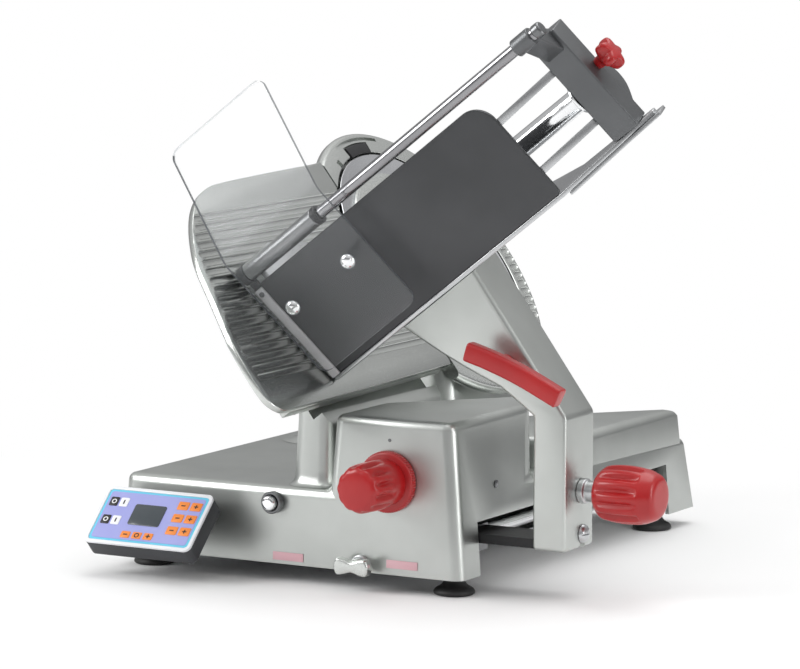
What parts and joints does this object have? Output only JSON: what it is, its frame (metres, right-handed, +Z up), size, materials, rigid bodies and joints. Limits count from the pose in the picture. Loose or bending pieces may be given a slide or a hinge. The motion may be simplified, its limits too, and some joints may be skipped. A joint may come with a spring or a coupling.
{
  "type": "deli meat slicer",
  "caption": "Gravity-feed deli slicer with a tilted round blade, ribbed thickness plate, sliding product chute with clear guard, red knobs and a small control box.",
  "frame": {"origin": "bottom centre of the bounding box, on the surface that the feet stand on", "axes": "+X to the operator's right, +Y away from the operator along the carriage travel, +Z up"},
  "size_m": [0.736, 0.81, 0.7287],
  "materials": {
    "cast_aluminium": "satin cast and polished",
    "dark_aluminium": "brushed, dark grey",
    "polished_steel": "mirror polished",
    "brushed_steel": "brushed",
    "black_steel": "black oxide",
    "red_plastic": "glossy moulded",
    "black_rubber": "matt",
    "charcoal_plastic": "moulded",
    "white_plastic": "moulded",
    "panel_blue": "printed film",
    "display_slate": "glossy window",
    "label_pink": "printed plate",
    "painted_motor": "satin paint",
    "clear_acrylic": "clear, polished edges"
  },
  "bodies": {
    "root": {"base_housing": "cast_aluminium", "bottom_plate": "brushed_steel", "foot_front_right": "black_rubber", "foot_front_left": "black_rubber", "foot_rear_right": "black_rubber", "foot_rear_left": "black_rubber", "neck": "cast_aluminium", "motor_housing": "cast_aluminium", "blade_dish": "cast_aluminium", "blade_cover": "cast_aluminium", "cover_tie_rod": "brushed_steel", "blade_bearing": "polished_steel", "drive_belt": "black_rubber", "blade_motor": "painted_motor", "sharpener_bracket": "black_steel", "guide_rod_right": "polished_steel", "guide_rod_left": "polished_steel", "control_box": "charcoal_plastic", "control_bezel": "white_plastic", "control_panel": "panel_blue", "display_window": "display_slate", "control_bracket": "brushed_steel", "button_bezel": "dark_aluminium", "selector_bezel": "brushed_steel", "label_left": "label_pink", "label_right": "label_pink"},
    "blade_unit": {"blade": "polished_steel", "blade_shaft": "brushed_steel", "blade_pulley": "dark_aluminium"},
    "motor_rotor": {"motor_pulley": "dark_aluminium"},
    "gauge": {"gauge_plate": "cast_aluminium", "gauge_shaft": "polished_steel"},
    "thickness": {"thickness_dial": "red_plastic", "thickness_knob": "red_plastic"},
    "button": {"push_button": "polished_steel"},
    "selector": {"selector_knob": "polished_steel"},
    "carriage": {"slide_block": "dark_aluminium", "carriage_bar": "black_steel", "pivot_pin": "polished_steel"},
    "tray": {"carriage_arm": "cast_aluminium", "push_handle": "red_plastic", "chute_wall": "dark_aluminium", "chute_floor": "brushed_steel", "wear_strip": "white_plastic", "cross_bar": "dark_aluminium", "chute_tube": "polished_steel", "stay_upper": "brushed_steel", "stay_lower": "brushed_steel", "slotted_bracket": "brushed_steel", "clear_guard": "clear_acrylic", "guard_screw_1": "polished_steel", "guard_screw_2": "polished_steel", "press_rod": "polished_steel", "rod_cap": "black_steel"},
    "clamp": {"clamp_knob": "red_plastic", "clamp_stud": "brushed_steel"},
    "press_carrier": {"press_collar": "black_steel"},
    "press": {"press_sleeve": "brushed_steel", "press_plate": "brushed_steel"},
    "star": {"star_knob": "red_plastic"}
  },
  "joints": [
    {"name": "carriage_slide", "type": "slide", "parent": "root", "child": "carriage", "axis": [0, 1, 0], "range_m": [0, 0.44]},
    {"name": "tray_lift", "type": "slide", "parent": "carriage", "child": "tray", "axis": [0, 0, 1], "range_m": [0, 0.12]},
    {"name": "clamp_turn", "type": "hinge", "parent": "tray", "child": "clamp", "pos_m": [0.287, -0.186, 0.136], "axis": [1, 0, 0], "continuous": true},
    {"name": "press_slide", "type": "slide", "parent": "tray", "child": "press_carrier", "axis": [0.7869, 0, 0.617], "range_m": [0, 0.3]},
    {"name": "press_swing", "type": "hinge", "parent": "press_carrier", "child": "press", "pos_m": [-0.11679, -0.29084, 0.43368], "axis": [0.7869, 0, 0.617], "range_deg": [0, 60]},
    {"name": "star_turn", "type": "hinge", "parent": "tray", "child": "star", "pos_m": [0.28217, -0.19001, 0.67685], "axis": [0.7869, 0, 0.617], "continuous": true},
    {"name": "blade_spin", "type": "hinge", "parent": "root", "child": "blade_unit", "pos_m": [-0.16081, 0.193, 0.36684], "axis": [0.7869, 0, 0.617], "continuous": true},
    {"name": "motor_spin", "type": "hinge", "parent": "root", "child": "motor_rotor", "pos_m": [-0.12762, 0.193, 0.24673], "axis": [0.7869, 0, 0.617], "continuous": true},
    {"name": "thickness_turn", "type": "hinge", "parent": "root", "child": "thickness", "pos_m": [0.033, -0.32, 0.142], "axis": [0, -1, 0], "range_deg": [0, 320]},
    {"name": "gauge_slide", "type": "slide", "parent": "root", "child": "gauge", "axis": [0.7869, 0, 0.617], "range_m": [-0.0159, 0]},
    {"name": "button_push", "type": "slide", "parent": "root", "child": "button", "axis": [0, 1, 0], "range_m": [0, 0.0035], "stiffness_N_per_m": 400, "springref_m": -0.002},
    {"name": "selector_turn", "type": "hinge", "parent": "root", "child": "selector", "pos_m": [-0.006, -0.295, 0.033], "axis": [0, -1, 0], "range_deg": [-45, 45]}
  ],
  "couplings": [
    {"joint": "motor_spin", "follows": "blade_spin", "ratio": 2.25},
    {"joint": "thickness_turn", "follows": "gauge_slide", "rad_per_m": -351.26}
  ]
}
